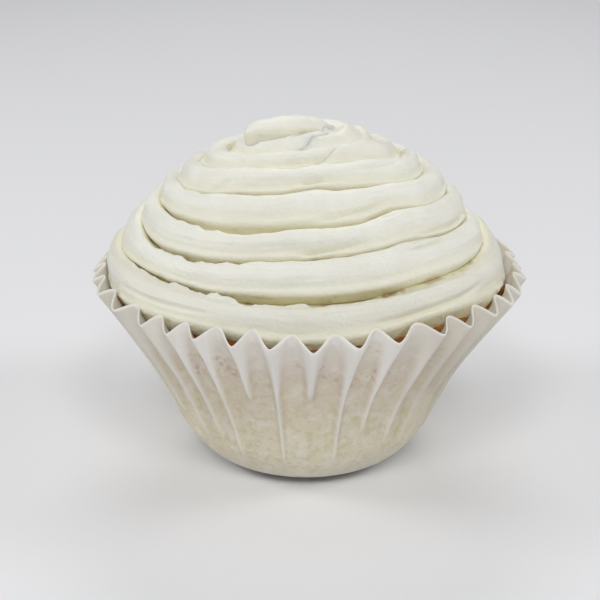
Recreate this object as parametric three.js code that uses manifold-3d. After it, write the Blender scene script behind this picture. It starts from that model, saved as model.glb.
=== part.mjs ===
// Iced cupcake in its paper case. Millimetres, +Z up, the front toward -Y.
// Origin: centre of the flat base, where the case stands on the table.
import * as THREE from 'three';
import { mergeVertices } from 'three/addons/utils/BufferGeometryUtils.js';
import Module from 'manifold-3d';

const wasm = await Module();
wasm.setup();

const TURN = Math.PI * 2;
const DEGREE = Math.PI / 180;

// Paper case: a thin disc pressed into pleats that deepen toward the rim.
const PLEATS = 36;
const PAPER = 0.3;
const PLEAT_FLAT = 0.18;
const PLEAT_DEPTH = 3.4;
const PLEAT_START_Z = 1.6;
const RIM_CREST_Z = 35.7;
const RIM_FOLD_Z = 37.7;
// The pleats are uneven: the front crest's angle from -Y, and how far each crest
// is from its even place, in degrees, from the left side round the front to the right.
const FRONT_CREST = 1.4;
const CREST_SHIFT = [
  -2.4, -2.4, 0, 2.6, 1.7, 0.2, 0.2, -0.6, 0, 1.4, 1.3, 4.1, 2.7, 2.8, 1.6, 0.6, 0.6, 0.4, -1,
];
const FIRST_SHIFTED = -8;
// Outer crest line of the case from the standing edge to the rim, [radius, height].
const CASE_LINE = [[15.4, 0], [17.5, 0.9], [20.4, 2.9], [23.8, 7], [30.1, 20], [40, 35.7]];

// Clearance between pieces that touch in the real cake.
const GAP = 0.3;
// Slivers thinner than this are merged away after the icing is cut.
const SMALLEST_EDGE = 0.02;

// Sponge crown above the case, [radius, height], from its edge to the middle.
const CROWN_LINE = [[33.6, 36.4], [28.6, 40.6], [22.2, 46.6], [13.6, 52], [6, 54.8], [0, 55.6]];
const CROWN_EDGE_Z = 34.9;
const CROWN_LIP = [0.6, 1.2];
const CROWN_BACK = 3;

// Icing: the surface that the tops of the piped rope reach, [radius, height],
// from the case rim to the middle. Its centre drifts back as it rises.
const DOME_LINE = [
  [36.6, 34.5], [37, 38], [35.1, 41], [32.6, 44.6], [29.9, 47.6], [25.9, 51.6],
  [21, 55], [15.8, 57.9], [10.4, 60.2], [5.2, 61.8], [0, 62.4],
];
const DOME_BACK = 3.5;
// Lower edge of each turn of rope, measured up the dome at three places.
const EDGE_LEFT = [2, 8.2, 14.2, 19.8, 25.8, 31.2, 37, 42.4];
const EDGE_FRONT = [1.1, 8.1, 16, 22.2, 30, 35.8, 41.8, 47];
const EDGE_RIGHT = [3, 9, 15, 21.2, 28.6, 34.2, 41, 46.5];
const SIDE_SHARE = 0.22;
const ROPE_START = -0.76;
const ROPE_END = 6.08;
const ROPE_OVERLAP = 0.2;
const ROPE_DEEP = 7.2;
// The last of the rope is laid back over the middle and ends pointing left, [x, y, z].
const TAIL = [[3.4, 0.4, 62.2], [2.6, 3.2, 62.9], [-1.4, 3.6, 63.1], [-6, 2.9, 62.6], [-10.6, 2, 61.6]];
const TAIL_HALF = 3.1;
const TAIL_DEEP = 3.6;
const TAIL_STEPS = 12;
const COARSE_STEPS = 24;
// Heap of icing in the middle that the end of the rope lies on.
const HEAP_RADIUS = 9;
const HEAP_PLACE = [0, 5.5, 57.2];
const HEAP_HEIGHT = 4.2;
// Rope section, [across the rope, below its top]: rounded, with a shallow
// groove left by the ridged nozzle and a deep crease on each side.
const ROPE_SECTION = [
  [1, 3.4], [0.96, 1.5], [0.76, 0.4], [0.4, 0], [0.02, 0.35], [-0.3, 0.2],
  [-0.68, 0.6], [-0.9, 1.6], [-1, 3.4], [-0.8, ROPE_DEEP], [0.8, ROPE_DEEP],
];

// ---- Solids from rings -------------------------------------------------

/**
 * Triangles between two rings of points that both run anticlockwise from above.
 * Rings of equal count are joined by the shorter diagonal, so an inset copy of a
 * surface folds the same way as the surface itself.
 */
function stitch(lower, upper, positions, triangles) {
  const m = lower.length;
  const n = upper.length;
  const apart = (p, q) => Math.hypot(...[0, 1, 2].map((axis) => (
    positions[p * 3 + axis] - positions[q * 3 + axis])));
  let i = 0;
  let j = 0;
  while (i < m || j < n) {
    const a = lower[i % m];
    const b = lower[(i + 1) % m];
    const c = upper[j % n];
    const d = upper[(j + 1) % n];
    if (m === n) {
      const rising = apart(a, d) < apart(b, c);
      triangles.push(...(rising ? [a, b, d, a, d, c] : [a, b, c, b, d, c]));
      i += 1;
      j += 1;
    } else if (j >= n || (i < m && (i + 1) * n <= (j + 1) * m)) {
      triangles.push(a, b, c);
      i += 1;
    } else {
      triangles.push(a, d, c);
      j += 1;
    }
  }
}

/** Closed surface through a chain of rings; a ring of one point closes an end. */
function solidFromRings(rings) {
  const positions = [];
  const indexed = rings.map((ring) => ring.map((point) => {
    positions.push(...point);
    return positions.length / 3 - 1;
  }));
  const triangles = [];
  for (let k = 0; k + 1 < indexed.length; k += 1) {
    const lower = indexed[k];
    const upper = indexed[k + 1];
    if (lower.length === 1) {
      upper.forEach((p, i) => triangles.push(lower[0], upper[(i + 1) % upper.length], p));
    } else if (upper.length === 1) {
      lower.forEach((p, i) => triangles.push(upper[0], p, lower[(i + 1) % lower.length]));
    } else {
      stitch(lower, upper, positions, triangles);
    }
  }
  const geometry = new THREE.BufferGeometry();
  geometry.setAttribute('position', new THREE.Float32BufferAttribute(positions, 3));
  geometry.setIndex(triangles);
  return geometry;
}

function toManifold(source) {
  const geometry = source.clone();
  geometry.deleteAttribute('normal');
  geometry.deleteAttribute('uv');
  const merged = mergeVertices(geometry, 1e-4);
  return new wasm.Manifold(new wasm.Mesh({
    numProp: 3,
    vertProperties: new Float32Array(merged.attributes.position.array),
    triVerts: new Uint32Array(merged.index.array),
  }));
}

function toGeometry(manifold) {
  const mesh = manifold.getMesh();
  const positions = new Float32Array(mesh.numVert * 3);
  for (let i = 0; i < mesh.numVert; i += 1) {
    for (let axis = 0; axis < 3; axis += 1) {
      positions[i * 3 + axis] = mesh.vertProperties[i * mesh.numProp + axis];
    }
  }
  const geometry = new THREE.BufferGeometry();
  geometry.setAttribute('position', new THREE.BufferAttribute(positions, 3));
  geometry.setIndex(Array.from(mesh.triVerts));
  return geometry;
}

// ---- Paper case --------------------------------------------------------

function lineAt(line, z) {
  for (let i = 0; i + 1 < line.length; i += 1) {
    const [r0, z0] = line[i];
    const [r1, z1] = line[i + 1];
    if (z <= z1 || i + 2 === line.length) {
      return r0 + (r1 - r0) * (z - z0) / (z1 - z0);
    }
  }
  return line[line.length - 1][0];
}

/** Depth of the pleats at a height, none at the base and full at the rim. */
function pleatDepth(z) {
  const share = (z - PLEAT_START_Z) / (RIM_CREST_Z - PLEAT_START_Z);
  return PLEAT_DEPTH * Math.max(0, share) ** 0.85;
}

/** Angle of a crest, counted anticlockwise from the front one. */
function crestAngle(k) {
  const wrapped = k > PLEATS / 2 ? k - PLEATS : k;
  const shift = CREST_SHIFT[wrapped - FIRST_SHIFTED] || 0;
  return (FRONT_CREST + shift - 90 + (k * 360) / PLEATS) * DEGREE;
}

function foldAngle(k) {
  return (crestAngle(k) + crestAngle(k + 1)) / 2;
}

/** One pleated ring: middle of the paper moved by `offset` along its own normal. */
function pleatedRing(crestZ, foldZ, offset) {
  const flat = (PLEAT_FLAT / 2) * (TURN / PLEATS);
  const middle = [];
  for (let k = 0; k < PLEATS; k += 1) {
    const crest = crestAngle(k);
    const fold = foldAngle(k);
    [[crest - flat, crestZ, 0], [crest + flat, crestZ, 0],
      [fold - flat, foldZ, 1], [fold + flat, foldZ, 1]].forEach(([angle, z, inward]) => {
      const radius = lineAt(CASE_LINE, z) - PAPER - inward * pleatDepth(z);
      middle.push([radius * Math.cos(angle), radius * Math.sin(angle), z]);
    });
  }
  const count = middle.length;
  return middle.map((point, i) => {
    const before = middle[(i + count - 1) % count];
    const after = middle[(i + 1) % count];
    const normals = [[before, point], [point, after]].map(([a, b]) => (
      new THREE.Vector2(b[1] - a[1], a[0] - b[0]).normalize()));
    const mitre = normals[0].clone().add(normals[1]).normalize();
    const reach = offset / mitre.dot(normals[0]);
    return [point[0] + mitre.x * reach, point[1] + mitre.y * reach, point[2]];
  });
}

/** Round ring with a point at every crest, and at every fold too where it is fine. */
function roundRing(radius, z, fine, back = 0) {
  const angles = Array.from({ length: PLEATS }, (_, k) => (
    fine ? [crestAngle(k), foldAngle(k)] : [crestAngle(k)])).flat();
  return angles.map((angle) => [
    radius * Math.cos(angle), back + radius * Math.sin(angle), z]);
}

function paperCase() {
  const half = PAPER / 2;
  const heights = CASE_LINE.slice(2, -1).map(([, z]) => z);
  const [foot, corner] = CASE_LINE;
  return solidFromRings([
    [[0, 0, 0]],
    roundRing(foot[0], foot[1], false),
    roundRing(corner[0], corner[1], true),
    ...heights.map((z) => pleatedRing(z, z, half)),
    pleatedRing(RIM_CREST_Z, RIM_FOLD_Z, half),
    pleatedRing(RIM_CREST_Z, RIM_FOLD_Z, -half),
    ...heights.slice().reverse().map((z) => pleatedRing(z, z, -half)),
    roundRing(corner[0] - half, corner[1] + PAPER, true),
    roundRing(foot[0] - half, PAPER, false),
    [[0, 0, PAPER]],
  ]);
}

// ---- Sponge ------------------------------------------------------------

/** The cake itself; `grow` swells its upper side, for the clearance under the icing. */
function sponge(grow) {
  const inset = grow - PAPER / 2 - GAP;
  const heights = CASE_LINE.slice(2, -1).map(([, z]) => z);
  const [foot, corner] = CASE_LINE;
  const under = PAPER + GAP;
  const [lipRise, lipIn] = CROWN_LIP;
  const top = CROWN_LINE[CROWN_LINE.length - 1];
  const crown = CROWN_LINE.slice(0, -1).map(([radius, z], i) => {
    const next = CROWN_LINE[i + 1];
    const slope = new THREE.Vector2(z - next[1], radius - next[0]).normalize();
    const back = CROWN_BACK * (z - CROWN_EDGE_Z) / (top[1] - CROWN_EDGE_Z);
    return roundRing(radius - grow * slope.x, z + grow * slope.y, i < 1, back);
  });
  const edge = pleatedRing(CROWN_EDGE_Z + grow, CROWN_EDGE_Z + grow, inset);
  const lip = edge.map(([x, y, z]) => {
    const share = 1 - lipIn / Math.hypot(x, y);
    return [x * share, y * share, z + lipRise];
  });
  return solidFromRings([
    [[0, 0, under]],
    roundRing(foot[0] - PAPER, under, false),
    roundRing(corner[0] - under, corner[1] + under, true),
    ...heights.map((z) => pleatedRing(z, z, inset)),
    edge,
    lip,
    ...crown,
    [[0, CROWN_BACK, top[1] + grow]],
  ]);
}

// ---- Icing -------------------------------------------------------------

const domeCurve = new THREE.SplineCurve(DOME_LINE.map(([r, z]) => new THREE.Vector2(r, z)));
const domeLength = domeCurve.getLength();

/** Lower edge of the rope as a distance up the dome, by turns from the front. */
function edgeCurve() {
  const turns = [];
  const values = [];
  EDGE_FRONT.forEach((front, k) => {
    turns.push(k - 1 - SIDE_SHARE, k - 1, k - 1 + SIDE_SHARE);
    values.push(EDGE_LEFT[k], front, EDGE_RIGHT[k]);
  });
  const spline = new THREE.CubicInterpolant(turns, values, 1, new Float32Array(1));
  return (turn) => spline.evaluate(turn)[0];
}

/** Point on the dome and its outward direction, at a distance up it and an angle. */
function onDome(distance, angle) {
  const share = Math.min(distance / domeLength, 0.999);
  const { x: radius, y: z } = domeCurve.getPointAt(share);
  const tangent = domeCurve.getTangentAt(share);
  const out = new THREE.Vector3(
    tangent.y * Math.cos(angle), tangent.y * Math.sin(angle), -tangent.x);
  const point = new THREE.Vector3(
    radius * Math.cos(angle), radius * Math.sin(angle) + DOME_BACK * share, z);
  return { point, out };
}

/** Stations along the rope: top line, outward direction, direction across, half width. */
function ropeStations() {
  const edge = edgeCurve();
  const stations = [];
  let turn = ROPE_START;
  while (turn < ROPE_END) {
    const low = edge(turn - 1);
    const high = edge(turn);
    const angle = turn * TURN - Math.PI / 2;
    const { point, out } = onDome((low + high) / 2, angle);
    stations.push({ point, out, half: (high - low) / 2 + ROPE_OVERLAP });
    turn += 1 / (turn < 3 ? COARSE_STEPS * 1.5 : COARSE_STEPS);
  }
  const last = stations[stations.length - 1];
  const tail = new THREE.CatmullRomCurve3([
    last.point, ...TAIL.map((place) => new THREE.Vector3(...place)),
  ]);
  tail.getSpacedPoints(TAIL_STEPS).slice(1).forEach((point, i) => {
    const share = (i + 1) / TAIL_STEPS;
    const up = new THREE.Vector3(0, 0, 1);
    stations.push({
      point,
      out: last.out.clone().lerp(up, Math.min(1, share * 3)).normalize(),
      half: THREE.MathUtils.lerp(last.half, TAIL_HALF, share) * (share < 1 ? 1 : 0.75),
      deep: THREE.MathUtils.lerp(ROPE_DEEP, TAIL_DEEP, share),
    });
  });
  stations.forEach((station, i) => {
    const before = stations[Math.max(0, i - 1)].point;
    const after = stations[Math.min(stations.length - 1, i + 1)].point;
    const along = after.clone().sub(before).normalize();
    station.across = station.out.clone().cross(along).normalize();
  });
  return stations;
}

/** Solid rope through a run of stations. */
function ropePiece(stations) {
  const rings = stations.map(({ point, out, across, half, deep = ROPE_DEEP }) => (
    ROPE_SECTION.map(([side, below]) => {
      const place = point.clone()
        .addScaledVector(across, side * half)
        .addScaledVector(out, -below * deep / ROPE_DEEP);
      return place.toArray();
    })));
  const middle = (ring) => [0, 1, 2].map((axis) => (
    ring.reduce((sum, point) => sum + point[axis], 0) / ring.length));
  return solidFromRings([
    [middle(rings[0])], ...rings, [middle(rings[rings.length - 1])],
  ]);
}

function icing() {
  const stations = ropeStations();
  const run = 26;
  let solid = null;
  for (let start = 0; start + 1 < stations.length; start += run) {
    const piece = toManifold(ropePiece(stations.slice(start, start + run + 1)));
    solid = solid ? solid.add(piece) : piece;
  }
  const heap = new THREE.SphereGeometry(HEAP_RADIUS, 20, 10);
  heap.rotateX(Math.PI / 2);
  heap.scale(1, 1, HEAP_HEIGHT / HEAP_RADIUS);
  heap.translate(...HEAP_PLACE);
  solid = solid.add(toManifold(heap));
  const clear = toManifold(sponge(GAP * 1.2));
  const wallTop = RIM_FOLD_Z + GAP;
  const wall = (z) => lineAt(CASE_LINE, z) - PAPER * 2 - GAP - pleatDepth(z);
  const collar = new THREE.LatheGeometry([
    new THREE.Vector2(wall(30), 30),
    new THREE.Vector2(45, 30),
    new THREE.Vector2(45, wallTop),
    new THREE.Vector2(wall(wallTop), wallTop),
    new THREE.Vector2(wall(30), 30),
  ], PLEATS * 2);
  collar.rotateX(Math.PI / 2);
  const trimmed = solid.subtract(clear).subtract(toManifold(collar)).simplify(SMALLEST_EDGE);
  const [whole] = trimmed.decompose().sort((a, b) => b.volume() - a.volume());
  return toGeometry(whole);
}

// ---- Assembly ----------------------------------------------------------

function mesh(name, geometry, material) {
  geometry.computeVertexNormals();
  const result = new THREE.Mesh(geometry, new THREE.MeshStandardMaterial(material));
  result.name = name;
  return result;
}

const cupcake = new THREE.Group();
cupcake.name = 'cupcake';
cupcake.add(
  mesh('paper_case', paperCase(), { color: 0xd9d3c6, roughness: 0.85, metalness: 0 }),
  mesh('sponge', sponge(0), { color: 0xb9803c, roughness: 0.9, metalness: 0 }),
  mesh('icing', icing(), { color: 0xe6e4d8, roughness: 0.5, metalness: 0 }),
);

export default cupcake;
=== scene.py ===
import math

import bpy
import numpy as np
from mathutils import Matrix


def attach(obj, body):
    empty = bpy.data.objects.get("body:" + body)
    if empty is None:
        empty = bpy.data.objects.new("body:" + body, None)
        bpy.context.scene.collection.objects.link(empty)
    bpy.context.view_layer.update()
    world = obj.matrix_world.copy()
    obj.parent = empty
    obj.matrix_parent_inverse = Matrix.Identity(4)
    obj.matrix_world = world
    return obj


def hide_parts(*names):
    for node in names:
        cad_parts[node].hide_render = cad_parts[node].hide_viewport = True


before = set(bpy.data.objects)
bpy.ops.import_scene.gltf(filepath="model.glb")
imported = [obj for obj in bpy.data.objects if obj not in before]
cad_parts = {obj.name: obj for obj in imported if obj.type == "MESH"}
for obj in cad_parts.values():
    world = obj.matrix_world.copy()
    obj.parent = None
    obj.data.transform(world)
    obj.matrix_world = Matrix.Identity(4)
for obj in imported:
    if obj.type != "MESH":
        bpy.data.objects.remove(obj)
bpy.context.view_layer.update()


# ---------------------------------------------------------------------------
# Camera, table and light.
# A small cake stands on a seamless pale table under a broad soft light from
# above, with a weaker fill from both sides.
# ---------------------------------------------------------------------------

# Sizes are in millimetres and angles in degrees, until a mesh or a light takes them.
MM = 0.001
CAMERA_PLACE = (0.0, -260.0, 128.5)
CAMERA_DOWN = 20.91
CAMERA_TURN = 0.25
CAMERA_LENS = 89.2
FILM_WIDTH = 36.0

camera_data = bpy.data.cameras.new("table_camera")
camera_data.lens = CAMERA_LENS
camera_data.sensor_width = FILM_WIDTH
camera_data.clip_start = 10 * MM
camera = bpy.data.objects.new("table_camera", camera_data)
camera.location = [value * MM for value in CAMERA_PLACE]
camera.rotation_euler = (math.radians(90 - CAMERA_DOWN), 0.0, math.radians(CAMERA_TURN))
bpy.context.collection.objects.link(camera)
bpy.context.scene.camera = camera
bpy.context.scene.view_settings.view_transform = "Standard"


def new_object(name, vertices, faces, smooth=True):
    """Mesh object at the origin from points in millimetres and lists of corners."""
    mesh = bpy.data.meshes.new(name)
    mesh.from_pydata((np.asarray(vertices) * MM).tolist(), [], faces)
    mesh.update()
    if smooth:
        mesh.shade_smooth()
    made = bpy.data.objects.new(name, mesh)
    bpy.context.collection.objects.link(made)
    return made


def plug(tree, socket, value):
    """Gives an input a value, a colour or what another node puts out."""
    value = getattr(value, "socket", value)
    if isinstance(value, bpy.types.NodeSocket):
        tree.links.new(value, socket)
    else:
        socket.default_value = (*value, 1) if socket.type == "RGBA" else value


def new_material(name):
    """Material with an empty tree but for its Principled shader."""
    material = bpy.data.materials.new(name)
    material.use_nodes = True
    tree = material.node_tree
    shader = next(n for n in tree.nodes if n.type == "BSDF_PRINCIPLED")
    return material, tree, shader


def set_finish(tree, shader, values):
    for name, value in values.items():
        plug(tree, shader.inputs[name], value)


TABLE_HALF = 3000.0
table = new_object("table", [
    (-TABLE_HALF, -TABLE_HALF, 0), (TABLE_HALF, -TABLE_HALF, 0),
    (TABLE_HALF, TABLE_HALF, 0), (-TABLE_HALF, TABLE_HALF, 0),
], [(0, 1, 2, 3)], smooth=False)
table_paint, table_tree, table_shader = new_material("table_paint")
set_finish(table_tree, table_shader, {
    "Base Color": (0.80, 0.80, 0.815), "Roughness": 0.7, "Specular IOR Level": 0.2})
table.data.materials.append(table_paint)

# Name of each soft light, its place, the height it points at, its width and its power.
LIGHTS = [
    ("box_left", (-260, -840, 950), 20, 320, 2.9),
    ("box_right", (260, -840, 950), 20, 320, 2.9),
    ("box_front", (0, -840, 950), 20, 320, 1.0),
    ("low_front", (0, -800, 260), 25, 360, 0.5),
    ("back_sheet", (0, 620, 580), 0, 400, 1.65),
    ("left_fill", (-550, 0, 330), 0, 220, 1.2),
    ("right_fill", (550, 0, 330), 0, 220, 1.1),
    ("ceiling", (0, 0, 700), 0, 450, 0.45),
]
for light_name, light_place, aimed_at, width, power in LIGHTS:
    lamp = bpy.data.lights.new(light_name, "AREA")
    lamp.shape = "DISK"
    lamp.size = width * MM
    lamp.energy = power
    light = bpy.data.objects.new(light_name, lamp)
    light.location = [value * MM for value in light_place]
    aim = np.array((0, 0, aimed_at), float) - np.array(light_place, float)
    light.rotation_euler = (
        math.atan2(math.hypot(aim[0], aim[1]), -aim[2]), 0.0,
        math.atan2(aim[1], aim[0]) - math.pi / 2)
    bpy.context.collection.objects.link(light)

ROOM_COLOUR = (0.97, 0.98, 1.0, 1)
ROOM_STRENGTH = 0.12
world = bpy.data.worlds.new("room")
world.use_nodes = True
background = world.node_tree.nodes["Background"]
background.inputs["Color"].default_value = ROOM_COLOUR
background.inputs["Strength"].default_value = ROOM_STRENGTH
bpy.context.scene.world = world


# ---------------------------------------------------------------------------
# Paper case.
# A disc of thin greaseproof paper pressed into uneven pleats round a flat
# base. Sharp crests stand out; broad folds lie on the sponge, soaked in butter.
# ---------------------------------------------------------------------------

PLEATS = 36
PLEAT_POINTS = 20
PAPER_THICK = 0.14
# Bearing of the crease nearest the front.
FRONT_CREST = 1.4
# The lists of creases below run over those in front, from this one on; 0 is the nearest.
FIRST_LISTED = -8
# How far each crease is turned from an even spacing.
CREST_SHIFT = [-2.4, -2.4, 0, 2.6, 1.7, 0.2, 0.2, -0.6, -0.3, 0.5, 0.1, 2.9, 1.8,
               2.2, 1.6, 0.6, 0.6, 0.4, -1]
# Height under which each of these creases is pressed nearly flat on the sponge.
CREST_FADE = [20, 9, 12, 9, 11, 7, 22, 6, 23, 6, 13, 9, 8, 18, 9, 20, 8, 12, 9]
# How much lower than the rest the rim is at these creases, and on the folds after them.
CREST_LOW = [0.4, 0.5, 0.6, 0.8, 0.75, 0.25, 0.5, 0.3, 0.9, 0.2, 0.0, 0.2, 0.3, 0.3, 0.4]
FOLD_LOW = [0.8, 1.0, 1.3, 1.05, 0.95, 0.65, 0.1, 0.8, 0.9, 0.25, 0.25, 0.75, 0.4, 0.4, 0.4]
# Radius and height of the crests, from the middle of the base up to the rim.
CASE_LINE = [(0, 0), (8, 0), (14.6, 0.02), (16.1, 0.25), (17.5, 0.95), (18.9, 1.75),
             (20.4, 2.9), (23.8, 7.0), (26.6, 13.0), (30.1, 20.0), (34.9, 27.8),
             (40.0, 35.7), (41.3, 37.8)]
CASE_ROWS = 54
CORNER_TOP_Z = 3
RIM_CREST_Z = 35.7
RIM_RISE = 2.3
PLEAT_DEPTH = 2.8
PLEAT_START_Z = 2.2
# The rim leans in by this much between these heights.
RIM_LEAN = 0.9
LEAN_FROM_Z = 35.0
LEAN_TO_Z = 38.2
# Share of a fold that its flanks take low down, and how much more at the rim.
FLANK = 0.34
FLANK_MORE = 0.28
# How much of a fold's depth is gone where the sponge presses the paper out.
PRESSED_OUT = 0.78
PRESS_FADE = 3.0
# Broad unevenness and fine cockles of the sheet.
UNEVEN = 0.30
CRINKLE = 0.10
# The middle of the sheet lies this far inside the line of the crests.
CASE_SET_IN = 0.3
# The open case is a little wider from left to right and leans to the right.
SIDE_STRETCH = 0.012
SIDE_LEAN = 0.45


def through(knots_x, knots_y, x):
    """Smooth curve through knots, with slopes that don't overshoot."""
    knots_x = np.asarray(knots_x, float)
    knots_y = np.asarray(knots_y, float)
    x = np.clip(np.asarray(x, float), knots_x[0], knots_x[-1])
    step = np.diff(knots_x)
    rise = np.diff(knots_y) / step
    slope = np.empty_like(knots_y)
    slope[0], slope[-1] = rise[0], rise[-1]
    slope[1:-1] = (rise[:-1] * step[1:] + rise[1:] * step[:-1]) / (step[:-1] + step[1:])
    k = np.clip(np.searchsorted(knots_x, x, side="right") - 1, 0, len(step) - 1)
    t = (x - knots_x[k]) / step[k]
    h = step[k]
    return ((1 + 2 * t) * (1 - t) ** 2 * knots_y[k] + t * (1 - t) ** 2 * h * slope[k]
            + t * t * (3 - 2 * t) * knots_y[k + 1] + t * t * (t - 1) * h * slope[k + 1])


def smooth_step(low, high, x):
    t = np.clip((np.asarray(x, float) - low) / (high - low), 0, 1)
    return t * t * (3 - 2 * t)


def ripple(x, period, seed, count):
    """Gentle one-dimensional unevenness between -1 and 1, repeating after `period`."""
    dice = np.random.default_rng(seed)
    total = np.zeros_like(np.asarray(x, float))
    for k in range(1, count + 1):
        wave = np.sin(2 * np.pi * (k * np.asarray(x) / period + dice.random()))
        total += wave * dice.uniform(0.5, 1)
    return total / count


crest_index = np.arange(PLEATS + 1)
wrapped = np.where(crest_index > PLEATS // 2 + 1, crest_index - PLEATS, crest_index)


def by_pleat(values, other):
    """Values for every pleat, from a list for the known ones and a rule for the rest."""
    return np.array([values[k - FIRST_LISTED] if 0 <= k - FIRST_LISTED < len(values)
                     else other(k) for k in wrapped], float)


crest_bearing = crest_index * 360 / PLEATS + by_pleat(
    CREST_SHIFT, lambda k: 0.8 * math.sin(2.4 * k))
crest_fade = by_pleat(CREST_FADE, lambda k: 12 + 8 * math.sin(3.7 * k))
crest_low = by_pleat(CREST_LOW, lambda k: 0.4 + 0.3 * math.sin(2.9 * k))
fold_low = by_pleat(FOLD_LOW, lambda k: 0.5 + 0.4 * math.sin(1.7 * k))
case_line = np.array(CASE_LINE, float)


def along_line(points):
    """Distance from the first of the points to each, from one to the next."""
    return np.r_[0, np.cumsum(np.linalg.norm(np.diff(points, axis=0), axis=1))]


case_along = along_line(case_line)
case_rise = case_along[-2] - case_along[2]


def crest_radius(z):
    """Radius of the pleats' crests at a height above the rounded corner."""
    return through(case_line[2:, 1], case_line[2:, 0], z)


def pleat_depth(z):
    share = np.clip((z - PLEAT_START_Z) / (RIM_CREST_Z - PLEAT_START_Z), 0, 1.1)
    return PLEAT_DEPTH * share ** 0.9


def case_surface(inset, rows, points):
    """Grid of points on the middle of the pleated paper, from the base to the rim."""
    phase = np.tile(np.arange(points) / points, PLEATS)
    pleat = np.repeat(np.arange(PLEATS), points)
    start = crest_bearing[pleat]
    width = crest_bearing[pleat + 1] - start
    angle = np.radians(start + width * phase + FRONT_CREST - 90)
    around = pleat + phase
    in_fold = 1 - np.abs(2 * phase - 1)
    rim_wave = ((1 - np.cos(np.pi * in_fold)) / 2) ** 0.75
    sunk = np.where(phase < 0.5, crest_low[pleat], crest_low[pleat + 1])
    sunk = sunk * (1 - in_fold) + fold_low[pleat] * in_fold
    fold_uneven = 1 + 0.07 * np.sin(pleat * 2.13 + 0.7) + 0.05 * np.sin(pleat * 5.1)
    fade = crest_fade[pleat] * (1 - phase) + crest_fade[pleat + 1] * phase
    share = np.linspace(0, 1, rows) ** 0.9
    along = np.r_[np.linspace(0, case_along[2], 5)[:-1], case_along[2] + case_rise * share]
    row_r = np.where(along > case_along[1], through(case_along, case_line[:, 0], along),
                     np.interp(along, case_along, case_line[:, 0]))
    row_z = np.where(along > case_along[2],
                     np.maximum(through(case_along, case_line[:, 1], along), 0), 0.0)
    grid = np.zeros((len(along), len(around), 3))
    sunken = np.zeros((len(along), len(around)))
    for j, (radius, z) in enumerate(zip(row_r, row_z)):
        height = z / RIM_CREST_Z
        flank = FLANK + FLANK_MORE * smooth_step(0.6, 0.9, height)
        reach = np.clip(np.hypot(in_fold, 0.05) - 0.05, 0, flank) / flank
        rim = smooth_step(0.80, 1.0, height)
        wave = (1 - (1 - reach) ** 1.5) * (1 - rim) + rim_wave * rim
        pressed = 1 - PRESSED_OUT * (1 - smooth_step(-PRESS_FADE, PRESS_FADE, z - fade))
        top = z + (RIM_RISE * wave - sunk) * smooth_step(0.35, 1.0, height) ** 2
        beyond = 0
        if z > CORNER_TOP_Z:
            beyond = crest_radius(top) - crest_radius(np.full_like(top, z))
        depth = pleat_depth(top) * (1 + (fold_uneven - 1) * smooth_step(0.1, 0.6, height))
        depth = depth + RIM_LEAN * smooth_step(LEAN_FROM_Z, LEAN_TO_Z, top)
        uneven = (UNEVEN * ripple(around + 9 * height, PLEATS, seed=5, count=11)
                  * smooth_step(0.05, 0.5, height))
        crinkle = (CRINKLE * ripple(around + 5 * height, PLEATS, seed=8, count=60)
                   * smooth_step(0.1, 0.4, height))
        sunken[j] = 1 - pressed * (1 - wave)
        r = radius + beyond - CASE_SET_IN - depth * sunken[j] + uneven + crinkle - inset
        r = np.maximum(r, 0) if j else np.zeros_like(around)
        flare = smooth_step(0.5, 1.0, height)
        grid[j, :, 0] = r * np.cos(angle) * (1 + SIDE_STRETCH * flare) + SIDE_LEAN * flare
        grid[j, :, 1] = r * np.sin(angle)
        grid[j, :, 2] = top
    return grid, sunken, row_z


def grid_normals(grid):
    """Outward directions on a grid whose rows climb and whose columns run round."""
    up = np.gradient(grid, axis=0)
    side = np.roll(grid, -1, axis=1) - np.roll(grid, 1, axis=1)
    normal = np.cross(side, up)
    length = np.linalg.norm(normal, axis=2, keepdims=True)
    return normal / np.maximum(length, 1e-9)


def ring_faces(first, second, count):
    return [(first + i, first + (i + 1) % count, second + (i + 1) % count, second + i)
            for i in range(count)]


def set_attribute(target, name, values):
    """Keeps a number, or three, for each point of a mesh."""
    values = np.asarray(values, np.float32)
    kind, field = (("FLOAT_VECTOR", "vector") if values.ndim > 1 and values.shape[-1] == 3
                   else ("FLOAT", "value"))
    target.data.attributes.new(name, kind, "POINT").data.foreach_set(field, values.ravel())


def paper_case():
    grid, sunken, row_z = case_surface(0.0, CASE_ROWS, PLEAT_POINTS)
    normal = grid_normals(grid)
    normal[:4] = (0, 0, -1)
    count = grid.shape[1]
    outer = grid[1:] + normal[1:] * PAPER_THICK / 2
    inner = grid[1:] - normal[1:] * PAPER_THICK / 2
    for skin in (outer, inner):
        skin[..., 2] += PAPER_THICK / 2
    rows = len(outer)
    vertices = np.concatenate([
        outer.reshape(-1, 3), inner.reshape(-1, 3), [(0, 0, 0)], [(0, 0, PAPER_THICK)]])
    faces = []
    back = rows * count
    for j in range(rows - 1):
        faces += ring_faces(j * count, (j + 1) * count, count)
        faces += [tuple(reversed(f)) for f in ring_faces(
            back + j * count, back + (j + 1) * count, count)]
    faces += ring_faces((rows - 1) * count, back + (rows - 1) * count, count)
    under, over = 2 * back, 2 * back + 1
    faces += [(under, (i + 1) % count, i) for i in range(count)]
    faces += [(over, back + i, back + (i + 1) % count) for i in range(count)]
    made = new_object("case_paper", vertices, faces)
    height = np.repeat(row_z[1:, None], count, axis=1) / RIM_CREST_Z
    edge = np.zeros_like(height)
    edge[-1] = 1
    for name, values, middle in (
            ("crest", 1 - sunken[1:], 0.5), ("height", height, 0.0), ("edge", edge, 0.0)):
        set_attribute(made, name, np.r_[values.ravel(), values.ravel(), middle, middle])
    return made


case_paper = paper_case()


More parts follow.
